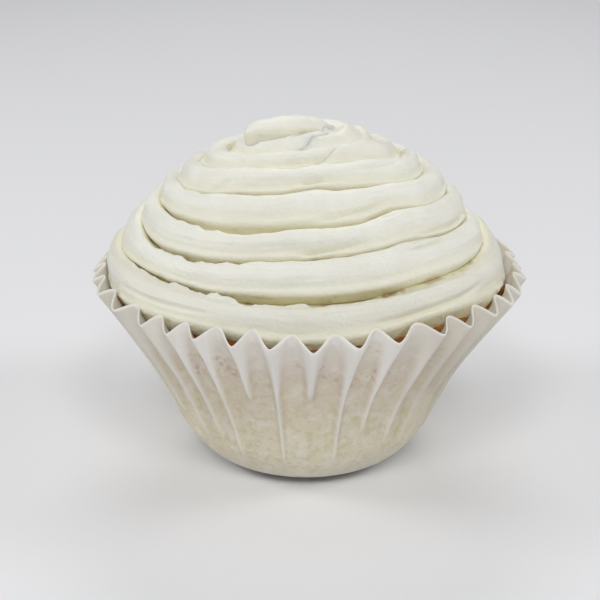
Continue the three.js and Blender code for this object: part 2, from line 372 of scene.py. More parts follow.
class Output:
    """What a node puts out. Arithmetic on it adds nodes to the same tree."""

    def __init__(self, tree, socket):
        self.tree = tree
        self.socket = socket

    def __add__(self, other):
        return maths("ADD", self, other)

    def __radd__(self, other):
        return maths("ADD", other, self)

    def __sub__(self, other):
        return maths("SUBTRACT", self, other)

    def __rsub__(self, other):
        return maths("SUBTRACT", other, self)

    def __mul__(self, other):
        return maths("MULTIPLY", self, other)

    def __truediv__(self, other):
        return maths("DIVIDE", self, other)


def add_node(tree, kind, inputs=None, **settings):
    """New node with its settings and what is plugged into its inputs."""
    made = tree.nodes.new(kind)
    for key, value in settings.items():
        setattr(made, key, value)
    for key, value in (inputs or {}).items():
        plug(tree, made.inputs[key], value)
    return made


def result(tree, kind, inputs=None, take=0, **settings):
    """One output of a new node."""
    return Output(tree, add_node(tree, kind, inputs, **settings).outputs[take])


def results(tree, kind, inputs=None, **settings):
    """All outputs of a new node, by name."""
    made = add_node(tree, kind, inputs, **settings)
    return {socket.name: Output(tree, socket) for socket in made.outputs}


def maths(operation, first, second=0.0):
    tree = first.tree if isinstance(first, Output) else second.tree
    return result(tree, "ShaderNodeMath", {0: first, 1: second}, operation=operation)


def least(first, second):
    return maths("MINIMUM", first, second)


def most(first, second):
    return maths("MAXIMUM", first, second)


def spread(value, low, high, start=0.0, end=1.0, smooth=False):
    """Takes what lies from low to high to start to end, and holds it there beyond."""
    return result(value.tree, "ShaderNodeMapRange", {
        "Value": value, "From Min": low, "From Max": high, "To Min": start, "To Max": end,
    }, interpolation_type="SMOOTHSTEP" if smooth else "LINEAR")


def ramp(value, *stops):
    """Colour or grey of a value, from stops that are (place, colour or grey)."""
    made = add_node(value.tree, "ShaderNodeValToRGB", {"Fac": value})
    elements = made.color_ramp.elements
    while len(elements) < len(stops):
        elements.new(0.5)
    for element, (place, tone) in zip(elements, stops):
        element.position = place
        element.color = (*tone, 1) if isinstance(tone, tuple) else (tone, tone, tone, 1)
    return Output(value.tree, made.outputs["Color"])


def mix(tree, share, first, second):
    return result(tree, "ShaderNodeMix", {0: share, 6: first, 7: second}, 2, data_type="RGBA")


def spots(place, scale, detail=3.0, roughness=0.55):
    return result(place.tree, "ShaderNodeTexNoise", {
        "Vector": place, "Scale": scale, "Detail": detail, "Roughness": roughness}, "Fac")


def stored(tree, name):
    """Value that the piece's mesh keeps under a name."""
    return result(tree, "ShaderNodeAttribute", take="Fac", attribute_name=name)


GRAIN_DEEP = 0.3


def bumped(tree, strength, height):
    return result(tree, "ShaderNodeBump", {
        "Strength": strength, "Distance": GRAIN_DEEP * MM, "Height": height})


def mottle_group():
    """Blotches, fine grain and an uneven roughness for soft, matt stuff."""
    tree = bpy.data.node_groups.new("mottle_and_grain", "ShaderNodeTree")
    tree.interface.new_socket("Place", in_out="INPUT", socket_type="NodeSocketVector")
    for name, value in (("Mottle scale", 150.0), ("Grain scale", 900.0), ("Smoothest", 0.45),
                        ("Roughest", 0.7)):
        socket = tree.interface.new_socket(name, in_out="INPUT", socket_type="NodeSocketFloat")
        socket.default_value = value
    for name in ("Mottle", "Grain", "Roughness"):
        tree.interface.new_socket(name, in_out="OUTPUT", socket_type="NodeSocketFloat")
    given = results(tree, "NodeGroupInput")
    mottle = spread(spots(given["Place"], given["Mottle scale"]), 0.36, 0.64, smooth=True)
    grain = spread(spots(given["Place"], given["Grain scale"], 4.0, 0.62), 0.34, 0.66)
    rough = spread(mottle * 0.55 + grain * 0.45, 0.0, 1.0, given["Smoothest"], given["Roughest"])
    add_node(tree, "NodeGroupOutput", {"Mottle": mottle, "Grain": grain, "Roughness": rough})
    return tree


MOTTLE = mottle_group()


def mottled(place, mottle_scale, grain_scale, smoothest, roughest):
    return results(place.tree, "ShaderNodeGroup", {
        "Place": place, "Mottle scale": mottle_scale, "Grain scale": grain_scale,
        "Smoothest": smoothest, "Roughest": roughest}, node_tree=MOTTLE)


def paper_material():
    material, tree, shader = new_material("greaseproof_paper")
    place = result(tree, "ShaderNodeTexCoord", take="Object")
    crest, height, edge = (stored(tree, name) for name in ("crest", "height", "edge"))
    mottle = mottled(place, 210.0, 850.0, 0.50, 0.78)
    # Paper that lies on the sponge, by height: greyer, soaked yellow, pinkish, free.
    pressed = ramp(
        height, (0.0, (0.62, 0.58, 0.52)), (0.08, (0.72, 0.69, 0.60)),
        (0.25, (0.75, 0.71, 0.55)), (0.55, (0.73, 0.655, 0.53)), (0.75, (0.71, 0.62, 0.54)),
        (0.90, (0.77, 0.72, 0.66)), (1.0, (0.86, 0.84, 0.80)))
    soaked = ramp(height, (0.03, 0.2), (0.2, 1.0), (0.55, 0.8), (0.85, 0.25)) * 0.55
    stained = mix(tree, mottle["Mottle"] * soaked, pressed, (0.71, 0.635, 0.44))
    # The pores of the sponge show through as small darker marks.
    pores = ramp(spots(place, 780.0, 3.0, 0.65), (0.47, 0.0), (0.60, 1.0))
    porous = mix(tree, pores * soaked, stained, (0.60, 0.51, 0.31))
    pale = ramp(spots(place, 330.0, 4.0, 0.65), (0.48, 0.0), (0.64, 0.6))
    porous = mix(tree, pale, porous, (0.82, 0.79, 0.72))
    # A few browned crumbs stick to the paper just under the crown of the sponge.
    belt = ramp(height, (0.60, 0.0), (0.74, 1.0), (0.88, 1.0), (0.95, 0.0))
    crumbs = (ramp(spots(place, 900.0, 3.0, 0.6), (0.50, 0.0), (0.60, 1.0))
              * ramp(spots(place, 150.0, 1.0), (0.54, 0.0), (0.62, 1.0)))
    porous = mix(tree, crumbs * (belt * 0.55), porous, (0.50, 0.33, 0.22))
    free = mix(tree, ramp(height, (0.1, 0.0), (0.75, 1.0)),
               (0.85, 0.82, 0.73), (0.88, 0.86, 0.815))
    # Only the sharp line of a crest is free of the sponge low down, and all of it at the rim. That
    # paper is unsoaked and paler, and its pale crest line is also a painted highlight.
    lifted = crest + ramp(height, (0.58, 0.0), (0.98, 0.5))
    folded = mix(tree, ramp(lifted, (0.50, 0.0), (1.0, 1.0)), porous, free)
    folded = mix(tree, mottle["Grain"] * 0.10, folded, (0.70, 0.66, 0.58))
    # Painted shade: the paper is darker toward the left and the right, the more so on the right.
    aside = results(tree, "ShaderNodeSeparateXYZ", {"Vector": place})["X"]
    painted_side_shade = ramp(most(aside * -1.0, aside * 1.45) * 25.0, (0.50, 0.0), (0.85, 0.62))
    folded = mix(tree, painted_side_shade, folded, (0.62, 0.57, 0.47))
    # The cut edge of the sheet is paler than its faces.
    cut = ramp(edge, (0.25, 0.0), (0.95, 0.85))
    # Faint cockles from steam, finer grain of the sheet over them.
    flattened = result(tree, "ShaderNodeMapping", {"Vector": place, "Scale": (1.0, 1.0, 2.6)})
    relief = mix(tree, 0.30, spots(flattened, 260.0, 2.0, 0.5), mottle["Grain"])
    set_finish(tree, shader, {
        "Base Color": mix(tree, cut, folded, (0.87, 0.855, 0.80)),
        "Roughness": mottle["Roughness"], "Specular IOR Level": 0.3,
        "Normal": bumped(tree, 0.35, relief)})
    return material


case_paper.data.materials.append(paper_material())
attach(case_paper, "root")
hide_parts("paper_case")


# ---------------------------------------------------------------------------
# Sponge.
# Yellow sponge baked in the case, so its side has the case's pleats; it rose
# into a dome with a browned, slightly cracked crust that shows in the gaps.
# ---------------------------------------------------------------------------

SPONGE_INSET = 0.45
SPONGE_POINTS = 8
SPONGE_ROWS = 30
CROWN_LINE = [(36.7, 33.2), (36.2, 33.9), (35.2, 34.4), (33.0, 35.4), (28.6, 39.6), (22.2, 46.2),
              (13.6, 52.0), (6.0, 54.8), (0.0, 55.6)]
CROWN_BACK = 3.0
CROWN_ROWS = 44
# Height at which the side of the sponge ends, and from which the crown leans back.
SIDE_TOP_Z = 32.5
CROWN_FOOT_Z = 35
CROWN_RISE = 21
SPONGE_FOOT_Z = 0.6
# Coarse and fine unevenness of the crust.
CRAG = 0.22
SMALL_CRAG = 0.16


def sponge_crown():
    grid, _, row_z = case_surface(SPONGE_INSET, SPONGE_ROWS, SPONGE_POINTS)
    side = grid[row_z < SIDE_TOP_Z][1:]
    side[..., 2] = np.maximum(side[..., 2] * 0.985 + 0.35, SPONGE_FOOT_Z)
    count = side.shape[1]
    line = np.array(CROWN_LINE)
    along = along_line(line)
    climb = np.linspace(0, along[-1], CROWN_ROWS)
    line_r = np.maximum(through(along, line[:, 0], climb), 0)
    line_z = through(along, line[:, 1], climb)
    edge = side[-1]
    angle = np.arctan2(edge[:, 1], edge[:, 0])
    edge_r = np.hypot(edge[:, 0], edge[:, 1])
    crown = []
    for up, base_r, base_z in zip(climb[:-1], line_r, line_z):
        # Near the case the crust starts from the pleated edge, further up it is round.
        hold = 1 - smooth_step(0, 3.2, up)
        r = base_r * (1 - hold) + (edge_r - 0.25 * up) * hold
        z = base_z * (1 - hold) + (edge[:, 2] + 0.55 * up + 0.3) * hold
        back = CROWN_BACK * max(0.0, base_z - CROWN_FOOT_Z) / CROWN_RISE
        crag = (CRAG * np.sin(angle * 23 + up * 1.9) * np.sin(angle * 9 - up * 1.1)
                + SMALL_CRAG * np.sin(angle * 41 + up * 3.1)) * smooth_step(0, 3, up)
        crag = crag * np.clip(base_r / 12, 0, 1)
        crown.append(np.stack([(r + crag) * np.cos(angle), back + (r + crag) * np.sin(angle),
                               z + crag * 0.6 + np.zeros_like(r)], axis=-1))
    rows = np.concatenate([side, np.array(crown)])
    last = (len(rows) - 1) * count
    vertices = np.concatenate([
        rows.reshape(-1, 3), [(0, 0, SPONGE_FOOT_Z)], [(0, CROWN_BACK, CROWN_LINE[-1][1])]])
    faces = []
    for first in range(0, last, count):
        faces += ring_faces(first, first + count, count)
    under, over = last + count, last + count + 1
    faces += [(under, (i + 1) % count, i) for i in range(count)]
    faces += [(over, last + i, last + (i + 1) % count) for i in range(count)]
    return new_object("sponge_cake", vertices, faces)


sponge_cake = sponge_crown()


def sponge_material():
    material, tree, shader = new_material("baked_crust")
    place = result(tree, "ShaderNodeTexCoord", take="Object")
    mottle = mottled(place, 190.0, 1100.0, 0.62, 0.92)
    pores = result(tree, "ShaderNodeTexVoronoi", {"Vector": place, "Scale": 800.0}, "Distance")
    crust = ramp(mottle["Mottle"], (0.0, (0.34, 0.145, 0.022)), (0.5, (0.26, 0.096, 0.011)),
                 (1.0, (0.18, 0.058, 0.006)))
    pitted = mix(tree, ramp(pores, (0.0, 0.6), (0.35, 0.0)), crust, (0.12, 0.045, 0.010))
    set_finish(tree, shader, {
        "Base Color": pitted, "Roughness": mottle["Roughness"], "Specular IOR Level": 0.2,
        "Normal": bumped(tree, 0.8, mix(tree, 0.4, pores, mottle["Grain"]))})
    return material


sponge_cake.data.materials.append(sponge_material())
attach(sponge_cake, "root")
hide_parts("sponge")


# ---------------------------------------------------------------------------
# Icing.
# Buttercream squeezed from a ridged nozzle as one rope, laid round and round
# up the dome. Its upper lip is torn where the cream broke away from the nozzle.
# ---------------------------------------------------------------------------

# Radius and height of the dome that the rope lies on, from the rim to the top.
DOME_LINE = [(35.8, 34.5), (36.7, 38.1), (35.1, 41.0), (32.6, 44.6), (29.9, 47.6), (25.9, 51.6),
             (21.0, 55.0), (15.8, 57.9), (10.4, 60.2), (5.2, 61.8), (0.0, 62.4)]
DOME_BACK = 3.5
# Crease under each turn, as a distance up the dome, at nine bearings from the front.
BEARINGS = (-80, -60, -40, -20, 0, 20, 40, 60, 80)
CREASES = [
    (0.6, 1.6, 2.3, 2.3, 1.5, 2.7, 3.6, 2.7, 0.7),
    (7.7, 8.3, 8.4, 8.3, 8.7, 9.2, 9.7, 9.6, 9.3),
    (13.9, 13.1, 13.4, 14.5, 15.7, 16.2, 17.0, 15.8, 14.8),
    (18.8, 19.4, 20.0, 21.0, 22.2, 22.1, 23.7, 21.9, 20.8),
    (23.7, 25.2, 27.6, 29.0, 30.6, 30.4, 29.8, 27.9, 26.5),
    (29.5, 31.8, 33.8, 34.8, 35.8, 36.2, 35.8, 34.4, 31.8),
    (34.6, 36.0, 37.4, 39.0, 40.0, 40.8, 40.6, 39.8, 37.8),
    (40.4, 42.0, 43.8, 45.0, 46.0, 46.4, 46.0, 45.2, 44.6),
]
# How far each crease gapes, how ragged the lip under it is, and how far the dome swells there.
GAPES = [
    (0, 0, 0, 0, 0, 0, 0, 0, 0), (0.3, 0.5, 0.6, 1.3, 1.7, 1.6, 1.7, 1.4, 0.6),
    (0.3, 0.7, 1.1, 0.6, 0.3, 0.2, 0.2, 0.2, 0.2), (0.3, 0.8, 1.4, 2.3, 1.1, 0.8, 0.7, 0.3, 0.2),
    (0.1, 0.2, 0.6, 1.1, 0.9, 1.0, 0.5, 0.3, 0.1), (0.1, 0.1, 0.3, 0.3, 0.4, 0.5, 0.3, 0.1, 0.1),
    (0.1, 0.1, 0.3, 0.4, 0.4, 0.3, 0.1, 0.1, 0.1), (0.2, 0.2, 0.2, 0.2, 0.2, 0.2, 0.2, 0.2, 0.2),
]
TEARS = [
    (0.2, 0.2, 0.2, 0.2, 0.2, 0.2, 0.2, 0.2, 0.2), (0.5, 0.8, 1.1, 1.1, 0.7, 0.4, 0.6, 0.8, 0.5),
    (0.2, 0.3, 0.7, 0.6, 0.2, 0.2, 0.2, 0.2, 0.2), (0.2, 0.3, 0.5, 0.3, 0.2, 0.2, 0.2, 0.2, 0.2),
    (0.3, 0.3, 0.3, 0.2, 0.2, 0.2, 0.2, 0.3, 0.3), (0.4, 0.4, 0.3, 0.3, 0.3, 0.3, 0.4, 0.4, 0.4),
    (0.5, 0.5, 0.5, 0.5, 0.5, 0.5, 0.5, 0.5, 0.5), (0.5, 0.5, 0.5, 0.5, 0.5, 0.5, 0.5, 0.5, 0.5),
]
BULGES = [
    (0, 0, 0, 0, 0, 0, 0, 0, 0), (0, 0, 0, 0, 0, 0, 0, -0.4, -0.7),
    (0.2, 0, 0, 0, 0, 0, 0, -0.3, -0.5), (0.3, 0.1, 0, 0, 0, 0, 0, 0.3, 0.4),
    (-0.3, -0.3, 0, 0, 0, 0, 0, 0.3, 0.5), (1.1, 0.8, 0.4, 0, 0, 0, 0.1, 0.2, 0.4),
    (-0.2, -0.1, 0, 0, 0, 0.3, 0.8, 0.8, 0.5), (-0.5, -0.5, -0.3, -0.1, 0, 0, 0, -0.3, -0.5),
]
# Short grooves where the strands of a turn part: turn, bearings, places up the dome, depth.
SPLITS = [
    (0, 16, 62, 4.0, 5.6, 0.9), (0, -66, -22, 4.2, 4.9, 0.5), (1, 34, 58, 15.0, 15.4, 0.8),
    (2, -4, 21, 16.2, 18.1, 0.9), (2, 43, 84, 17.6, 15.8, 0.8), (2, 30, 40, 21.9, 22.1, 0.4),
    (3, 1, 39, 22.9, 25.0, 0.9), (4, 36, 70, 30.4, 30.0, 0.7), (4, -57, -43, 26.0, 30.2, 0.9),
    (4, -5, 12, 31.3, 32.1, 0.7), (4, 30, 74, 33.6, 31.0, 0.6), (5, 2, 36, 36.1, 39.8, 1.3),
    (0, 110, 165, 5.0, 6.2, 0.8), (1, 120, 178, 10.4, 11.6, 0.7), (2, 190, 245, 17.0, 16.0, 0.8),
    (3, 110, 150, 24.8, 23.6, 0.7), (4, 170, 225, 30.2, 31.4, 0.7), (0, 200, 262, 3.2, 5.0, 0.8),
]
LOWER_LIP_SHARE = 0.72
GAPE_DEPTH = 4.3
# How far the lowest turn sags below its lower lip at those bearings.
SAGS = (1.9, 1.8, 1.3, 0.8, 1.6, 1.7, 2.1, 3.2, 3.2)
ROPE_START = -0.76
ROPE_END = 6.08
ROPE_DEEP = 6.8
ROPE_STEP = 0.525
SECTION_POINTS = 44
DOME_POINTS = 800
RAIL_POINTS = 2400
# The turns overlap by this much on either side.
OVERLAP = 0.15
TAIL = [(4.8, 1.0, 61.2), (3.9, 2.6, 62.4), (0.8, 2.6, 63.6), (-3.4, 1.2, 64.0), (-7.6, 0.2, 64.0),
        (-11.3, 0.2, 63.2)]
TAIL_HALF = 2.9
TAIL_DEEP = 5.4
END_ROUND = 3.2
# The rounded ends sink by this share of the rope's depth.
END_SINK = 0.45
TAIL_POINTS = 200
# The tail takes its first direction from this many points before the turns end.
TAIL_LEAD = 60
HEAP_RADIUS = 10.8
HEAP_PLACE = (1.9, 3.9, 57.7)
HEAP_HEIGHT = 4.2
# The heap's mesh, and how closely and how high the coil on it is laid.
HEAP_SEGMENTS = 96
HEAP_RINGS = 48
COIL_PITCH = 15.0
COIL_HEIGHT = 0.10
# The heap carries a little painted crease shade, which makes it a little creamier than the rope.
HEAP_CREASE_SHADE = 0.21
# Radius of the paper's inner folds at a height, which the icing stays inside.
FOLD_RADIUS = 34.85
FOLD_Z = 33
# How far the rope wavers, its ridges are streaked, its surface is lumpy and its creases sway.
WAVER = 0.9
STREAKS = 0.34
LUMPS = 0.5
SWAY = 0.7
# The lumps grow to their full height between these heights.
LUMPS_FROM_Z = 44
LUMPS_FULL_Z = 60
# Half the width of a groove between strands.
SPLIT_HALF = 0.62
# Depths under the top of the rope: its ridges, the end of its outer face, the waist of the
# last strands, and the hollow behind an upper lip.
RIDGES_DEEP = 1.6
FACE_DEEP = 3.4
WAIST_FROM = 1.8
WAIST_FULL = 3.8
HOLLOW_FROM = 0.6
HOLLOW_DEEP = 2.0
# Width of a crease whose hollow goes in as far as it goes down.
HOLLOW_WIDE = 4.6
# Where the upper lip is round the section, and how far it reaches to either side.
LIP_SIDE = 0.20
LIP_REACH = 0.085
# Rope section: place round the section, across in halves of the width, depth under its top.
SECTION = [
    (0.00, 0.70, 6.8), (0.03, 0.95, 5.6), (0.07, 1.01, 4.2), (0.11, 1.02, 2.6),
    (0.145, 1.00, 1.55), (0.18, 0.95, 1.05), (0.22, 0.88, 0.70), (0.27, 0.77, 0.42),
    (0.32, 0.65, 0.24), (0.37, 0.52, 0.11), (0.42, 0.40, 0.04), (0.47, 0.28, 0.0),
    (0.52, 0.15, 0.03), (0.57, 0.00, 0.12), (0.62, -0.15, 0.28), (0.67, -0.30, 0.50),
    (0.72, -0.45, 0.74), (0.76, -0.56, 0.88), (0.79, -0.65, 0.92), (0.825, -0.74, 0.92),
    (0.855, -0.83, 0.98), (0.885, -0.915, 1.25), (0.91, -0.965, 1.75), (0.935, -0.99, 2.6),
    (0.965, -1.00, 4.2), (1.00, -0.72, 6.8),
]

dome_line = np.array(DOME_LINE)
dome_chord = along_line(dome_line)
dome_at = np.linspace(0, dome_chord[-1], DOME_POINTS)
dome_r, dome_z = (through(dome_chord, dome_line[:, axis], dome_at) for axis in (0, 1))


def by_turn(table, turn):
    """Value of a table of turns and bearings at a place along the rope."""
    turns = np.concatenate([k - 1 + np.array(BEARINGS) / 360 for k in range(len(table))])
    return through(turns, np.concatenate(table), turn)


def rope_rail():
    """Values along the top of the rope: its place, directions, sizes and raggedness."""
    turn = np.linspace(ROPE_START, ROPE_END, RAIL_POINTS)
    low, high = by_turn(CREASES, turn - 1), by_turn(CREASES, turn)
    middle = (low + high) / 2
    half = (high - low) / 2 + OVERLAP
    angle = turn * 2 * np.pi - np.pi / 2
    r, z, slope_r, slope_z = (np.interp(middle, dome_at, values) for values in (
        dome_r, dome_z, np.gradient(dome_r, dome_at), np.gradient(dome_z, dome_at)))
    out = np.stack([slope_z * np.cos(angle), slope_z * np.sin(angle), -slope_r], -1)
    out = out / np.hypot(slope_r, slope_z)[:, None]
    bulge = (by_turn(BULGES, turn - 1) + by_turn(BULGES, turn)) / 2
    back = DOME_BACK * middle / dome_at[-1]
    top = np.stack([r * np.cos(angle), back + r * np.sin(angle), z], -1) + out * bulge[:, None]
    split_at, split_deep = np.zeros_like(turn), np.zeros_like(turn)
    for lap, first, last, start, end, groove in SPLITS:
        share = (turn - lap - first / 360) / ((last - first) / 360)
        inside = (share > 0) & (share < 1)
        split_at = np.where(inside, start + (end - start) * share - middle, split_at)
        taper = smooth_step(0, 0.25, share) * (1 - smooth_step(0.7, 1.0, share))
        split_deep = np.where(inside, groove * taper, split_deep)
    # The crease over the lowest turn is partly filled, the more so on the right.
    fill = 1 + sum((0.15 + 0.95 * smooth_step(0.05, 0.11, turn - lap))
                   * smooth_step(-0.25, -0.15, turn - lap)
                   * (1 - smooth_step(0.22, 0.30, turn - lap)) for lap in (0, 1))
    sag = through(np.array(BEARINGS) / 360, SAGS, turn) * (1 - smooth_step(0.5, 0.75, turn))
    # The tail: back over the middle, ending toward the left.
    knots = np.array([top[-TAIL_LEAD], top[-1], *TAIL])
    at = along_line(knots)
    t = np.linspace(at[1], at[-1], TAIL_POINTS)[1:]
    tail = np.stack([through(at, knots[:, axis], t) for axis in range(3)], -1)
    share = (t - at[1]) / (at[-1] - at[1])
    lean = np.minimum(1, share * 3)[:, None]
    tail_out = out[-1] * (1 - lean) + np.array([0, 0, 1]) * lean
    tail_out /= np.linalg.norm(tail_out, axis=1, keepdims=True)
    soon = np.minimum(1, share * 2)
    none = np.zeros_like(share)
    # Each value on the turns and then on the tail; "round" is how far the ridges are lost.
    rail = {
        "top": (top, tail),
        "out": (out, tail_out),
        "half": (half, half[-1] + (TAIL_HALF - half[-1]) * share),
        "deep": (np.full_like(turn, ROPE_DEEP), ROPE_DEEP + (TAIL_DEEP - ROPE_DEEP) * share),
        "tear": (by_turn(TEARS, turn), np.full_like(share, 0.5)),
        "open_low": ((1 - LOWER_LIP_SHARE) * by_turn(GAPES, turn - 1), none),
        "open_high": (LOWER_LIP_SHARE * by_turn(GAPES, turn), none),
        "skirt": (sag, none),
        "split_at": (split_at, none),
        "split_deep": (split_deep, none),
        "fill": (fill, none + 1),
        "round": (through((-0.8, 0.3, 1.5, 3.5, 5.2, 6.1), (0, 0, 0.1, 0.3, 0.6, 0.7), turn),
                  0.7 + 0.3 * soon),
        "relief": (through((-0.8, 0.2, 1, 2, 3, 4, 6.1), (0, 0, 0.1, 0.25, 0.45, 0.6, 0.5), turn),
                   0.5 * (1 - soon)),
    }
    rail = {name: np.concatenate(values) for name, values in rail.items()}
    # Even steps along the rope.
    at = along_line(rail["top"])
    even = np.linspace(0, at[-1], int(at[-1] / ROPE_STEP))
    for name, values in rail.items():
        rail[name] = np.stack([np.interp(even, at, v) for v in np.atleast_2d(values.T)], -1)
    # Both ends are rounded off.
    close = np.clip(np.minimum(even, at[-1] - even) / END_ROUND, 0, 1)
    rounded = np.sqrt(1 - (1 - close) ** 2)[:, None]
    rail["half"] *= rounded
    rail["top"] -= rail["out"] * rail["deep"] * (1 - rounded) * END_SINK
    rail["deep"] *= rounded
    across = np.cross(rail["out"], np.gradient(rail["top"], axis=0))
    rail["across"] = across / np.linalg.norm(across, axis=1, keepdims=True)
    rail["along"] = even
    for name in ("half", "tear", "open_low", "open_high", "skirt", "split_at", "split_deep"):
        rail[name] *= MM
    rail["deep"] /= ROPE_DEEP
    return rail


rail = rope_rail()
rail_points = (rail.pop("top") * MM).tolist()
rail_mesh = bpy.data.meshes.new("icing_rope")
rail_mesh.from_pydata(rail_points, [(i, i + 1) for i in range(len(rail_points) - 1)], [])
icing_rope = bpy.data.objects.new("icing_rope", rail_mesh)
bpy.context.collection.objects.link(icing_rope)
for rail_name, rail_values in rail.items():
    set_attribute(icing_rope, rail_name, rail_values)


def icing_material():
    material, tree, shader = new_material("buttercream")
    place = result(tree, "ShaderNodeTexCoord", take="Object")
    along, side, under, low = (
        stored(tree, name) for name in ("along", "side", "under", "low"))
    mottle = mottled(place, 120.0, 1300.0, 0.40, 0.60)
    streak = spots(result(tree, "ShaderNodeCombineXYZ", {
        "X": along * 0.12, "Y": side * 26.0}), 1.0, 4.0, 0.6)
    tone = mix(tree, mottle["Mottle"], (0.845, 0.835, 0.76), (0.88, 0.875, 0.80))
    tone = mix(tree, ramp(streak, (0.35, 0.0), (0.7, 0.30)), tone, (0.79, 0.775, 0.665))
    # The lowest turn lies on the crust. Painted shade makes it darker and yellower, most on its
    # upper part under the overhang of the turn above.
    tone = mix(tree, low, tone, (0.755, 0.735, 0.63))
    # Painted shade: the creases are darker and yellower the deeper they are, standing in for shade
    # and light bounced between the cream.
    tone = mix(tree, ramp(under, (0.15, 0.0), (0.36, 1.0)), tone, (0.83, 0.80, 0.61))
    tone = mix(tree, ramp(under, (0.36, 0.0), (0.75, 1.0)), tone, (0.70, 0.63, 0.38))
    crumb = (ramp(under, (0.30, 0.0), (0.60, 1.0))
             * ramp(spots(place, 300.0, 2.0), (0.56, 0.0), (0.64, 0.8)))
    set_finish(tree, shader, {
        "Base Color": mix(tree, crumb, tone, (0.42, 0.28, 0.09)),
        "Roughness": mottle["Roughness"], "Specular IOR Level": 0.35,
        "Subsurface Weight": 0.4, "Subsurface Radius": (1.0, 0.92, 0.75),
        "Subsurface Scale": 1.0 * MM,
        "Normal": bumped(tree, 0.5, mix(tree, 0.45, streak, mottle["Grain"]))})
    return material


buttercream = icing_material()


def fall(value, start, end):
    """1 at start, 0 at end, smooth between."""
    return spread(value, start, end, 1.0, 0.0, smooth=True)


def rise(value, start, end):
    return 1.0 - fall(value, start, end)


def centred(value, amount):
    return (value - 0.5) * amount


